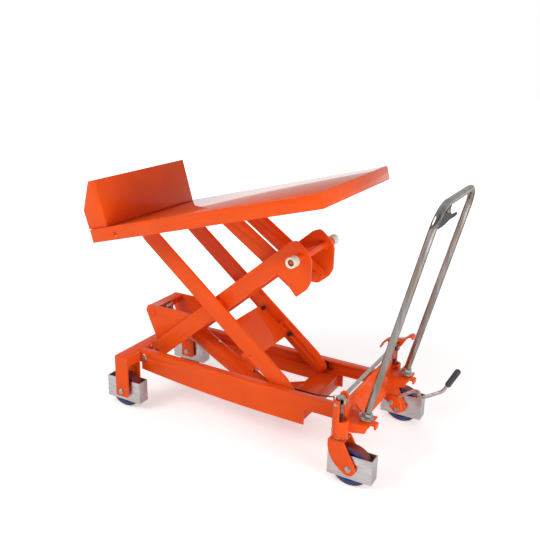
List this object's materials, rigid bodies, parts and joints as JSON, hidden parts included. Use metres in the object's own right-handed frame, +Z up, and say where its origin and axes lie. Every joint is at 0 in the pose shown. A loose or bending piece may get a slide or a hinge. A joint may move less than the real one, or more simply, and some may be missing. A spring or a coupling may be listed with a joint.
{
  "type": "tilting scissor lift table",
  "caption": "Mobile hydraulic scissor lift table with a tilting platform and load stop, a push handle with a release lever, a foot pump and braked swivel castors.",
  "frame": {"origin": "on the floor, under the middle of the table's overall length and width", "axes": "+X along the table towards the push handle and the swivel castors, +Y to the right-hand side seen from the front end looking at the handle's far side, +Z up"},
  "size_m": [1.2129, 0.512, 0.8621],
  "materials": {
    "orange_paint": "gloss orange powder coat",
    "zinc_steel": "bright zinc plate",
    "polished_tube": "polished chrome tube",
    "brushed_guard": "brushed steel sheet",
    "red_brown_tread": "dark red-brown polyurethane tread",
    "blue_core": "dark blue wheel centre",
    "white_nylon": "cream nylon",
    "black_plastic": "black plastic",
    "grey_grip": "matt dark grey rubber"
  },
  "bodies": {
    "base": {"side_rail_left": "orange_paint", "side_rail_right": "orange_paint", "front_cross_frame": "orange_paint", "cross_member": "orange_paint", "rear_frame": "orange_paint", "arm_pivot_shaft": "zinc_steel", "push_handle": "polished_tube", "handle_flange_left": "zinc_steel", "handle_flange_right": "zinc_steel", "front_guard_left": "brushed_guard", "front_guard_right": "brushed_guard", "front_axle_left": "zinc_steel", "front_axle_right": "zinc_steel", "release_cable": "black_plastic", "cable_lead": "black_plastic"},
    "inner_arms": {"inner_arm_left": "orange_paint", "inner_arm_right": "orange_paint", "roller_shaft": "orange_paint", "lift_bracket": "orange_paint", "ram_pin": "orange_paint"},
    "outer_arms": {"outer_arm_left": "orange_paint", "outer_arm_right": "orange_paint", "torsion_plate": "orange_paint"},
    "platform": {"platform_deck": "orange_paint", "load_stop": "orange_paint", "hinge_shaft": "zinc_steel", "tilt_pin": "zinc_steel"},
    "tilt_struts": {"tilt_strut_left": "orange_paint", "tilt_strut_right": "orange_paint"},
    "ram_body": {"ram_barrel": "orange_paint", "pump_spring": "zinc_steel"},
    "ram_piston": {"ram_rod": "zinc_steel"},
    "pump": {"pump_plunger": "zinc_steel"},
    "pedal": {"pedal_arm": "orange_paint", "pedal_rod": "zinc_steel", "pedal_grip": "grey_grip"},
    "brake": {"brake_shaft": "zinc_steel", "brake_pedal": "orange_paint"},
    "lever": {"release_lever": "black_plastic"},
    "front_wheel_left": {"front_tread_left": "red_brown_tread", "front_core_left": "blue_core"},
    "swivel_left": {"swivel_fork_left": "orange_paint", "rear_guard_left": "brushed_guard", "rear_axle_left": "zinc_steel"},
    "rear_wheel_left": {"rear_tread_left": "red_brown_tread", "rear_core_left": "blue_core"},
    "brake_plunger_left": {"brake_rod_left": "zinc_steel"},
    "deck_roller_left": {"deck_roller_wheel_left": "white_nylon"},
    "rail_roller_left": {"rail_roller_wheel_left": "black_plastic"},
    "front_wheel_right": {"front_tread_right": "red_brown_tread", "front_core_right": "blue_core"},
    "swivel_right": {"swivel_fork_right": "orange_paint", "rear_guard_right": "brushed_guard", "rear_axle_right": "zinc_steel"},
    "rear_wheel_right": {"rear_tread_right": "red_brown_tread", "rear_core_right": "blue_core"},
    "brake_plunger_right": {"brake_rod_right": "zinc_steel"},
    "deck_roller_right": {"deck_roller_wheel_right": "white_nylon"},
    "rail_roller_right": {"rail_roller_wheel_right": "black_plastic"}
  },
  "joints": [
    {"name": "lift", "type": "hinge", "parent": "base", "child": "inner_arms", "pos_m": [-0.4443, 0, 0.1745], "axis": [0, -1, 0], "range_deg": [-27.5, 0]},
    {"name": "scissor_pivot", "type": "hinge", "parent": "inner_arms", "child": "outer_arms", "pos_m": [-0.1786, 0, 0.40725], "axis": [0, -1, 0], "range_deg": [0, 53.3]},
    {"name": "platform_hinge", "type": "hinge", "parent": "outer_arms", "child": "platform", "pos_m": [-0.4673, 0, 0.64], "axis": [0, -1, 0], "range_deg": [-40.9, 0]},
    {"name": "strut_pivot", "type": "hinge", "parent": "inner_arms", "child": "tilt_struts", "pos_m": [0.1017, 0, 0.521], "axis": [0, -1, 0], "range_deg": [0, 48.5]},
    {"name": "ram_swing", "type": "hinge", "parent": "base", "child": "ram_body", "pos_m": [-0.0263, 0, 0.0855], "axis": [0, -1, 0], "range_deg": [-3.4, 0]},
    {"name": "ram_stroke", "type": "slide", "parent": "ram_body", "child": "ram_piston", "axis": [-0.887, 0, 0.4618], "range_m": [-0.0596, 0]},
    {"name": "pedal_press", "type": "hinge", "parent": "base", "child": "pedal", "pos_m": [0.3937, 0.04, 0.157], "axis": [0, -1, 0], "range_deg": [-22, 0], "stiffness_Nm_per_rad": 3, "springref_deg": 20.05},
    {"name": "pump_stroke", "type": "slide", "parent": "ram_body", "child": "pump", "axis": [-0.887, 0, 0.4618], "range_m": [0, 0.0101], "deforming": ["pump_spring"]},
    {"name": "brake_press", "type": "hinge", "parent": "base", "child": "brake", "pos_m": [0.3277, 0, 0.262], "axis": [0, -1, 0], "range_deg": [-45, 0]},
    {"name": "lever_squeeze", "type": "hinge", "parent": "base", "child": "lever", "pos_m": [0.52441, -0.0447, 0.81545], "axis": [0.9721, 0, -0.2348], "range_deg": [0, 15], "stiffness_Nm_per_rad": 0.5, "springref_deg": -11.46},
    {"name": "brake_rod_slide_left", "type": "slide", "parent": "base", "child": "brake_plunger_left", "axis": [0, 0, -1], "range_m": [0, 0.0057]},
    {"name": "front_wheel_spin_left", "type": "hinge", "parent": "base", "child": "front_wheel_left", "pos_m": [-0.4883, -0.195, 0.0625], "axis": [0, 1, 0], "continuous": true},
    {"name": "swivel_turn_left", "type": "hinge", "parent": "base", "child": "swivel_left", "pos_m": [0.3317, -0.22, 0.17], "axis": [0, 0, 1], "continuous": true},
    {"name": "rear_wheel_spin_left", "type": "hinge", "parent": "swivel_left", "child": "rear_wheel_left", "pos_m": [0.3757, -0.22, 0.0625], "axis": [0, 1, 0], "continuous": true},
    {"name": "deck_roller_spin_left", "type": "hinge", "parent": "inner_arms", "child": "deck_roller_left", "pos_m": [0.11797, -0.142, 0.61879], "axis": [0, 1, 0], "continuous": true},
    {"name": "rail_roller_spin_left", "type": "hinge", "parent": "outer_arms", "child": "rail_roller_left", "pos_m": [0.1101, -0.134, 0.1745], "axis": [0, 1, 0], "continuous": true},
    {"name": "brake_rod_slide_right", "type": "slide", "parent": "base", "child": "brake_plunger_right", "axis": [0, 0, -1], "range_m": [0, 0.0057]},
    {"name": "front_wheel_spin_right", "type": "hinge", "parent": "base", "child": "front_wheel_right", "pos_m": [-0.4883, 0.195, 0.0625], "axis": [0, 1, 0], "continuous": true},
    {"name": "swivel_turn_right", "type": "hinge", "parent": "base", "child": "swivel_right", "pos_m": [0.3317, 0.22, 0.17], "axis": [0, 0, 1], "continuous": true},
    {"name": "rear_wheel_spin_right", "type": "hinge", "parent": "swivel_right", "child": "rear_wheel_right", "pos_m": [0.3757, 0.22, 0.0625], "axis": [0, 1, 0], "continuous": true},
    {"name": "deck_roller_spin_right", "type": "hinge", "parent": "inner_arms", "child": "deck_roller_right", "pos_m": [0.11797, 0.142, 0.61879], "axis": [0, 1, 0], "continuous": true},
    {"name": "rail_roller_spin_right", "type": "hinge", "parent": "outer_arms", "child": "rail_roller_right", "pos_m": [0.1101, 0.134, 0.1745], "axis": [0, 1, 0], "continuous": true}
  ],
  "couplings": [
    {"joint": "scissor_pivot", "follows": "lift", "ratio": -1.937},
    {"joint": "platform_hinge", "follows": "lift", "ratio": 1.4845},
    {"joint": "strut_pivot", "follows": "lift", "ratio": -1.7625},
    {"joint": "ram_swing", "follows": "lift", "ratio": 0.12},
    {"joint": "ram_stroke", "follows": "lift", "m_per_rad": 0.124},
    {"joint": "pump_stroke", "follows": "pedal_press", "m_per_rad": -0.026},
    {"joint": "brake_rod_slide_left", "follows": "brake_press", "m_per_rad": -0.0072},
    {"joint": "brake_rod_slide_right", "follows": "brake_press", "m_per_rad": -0.0072}
  ]
}
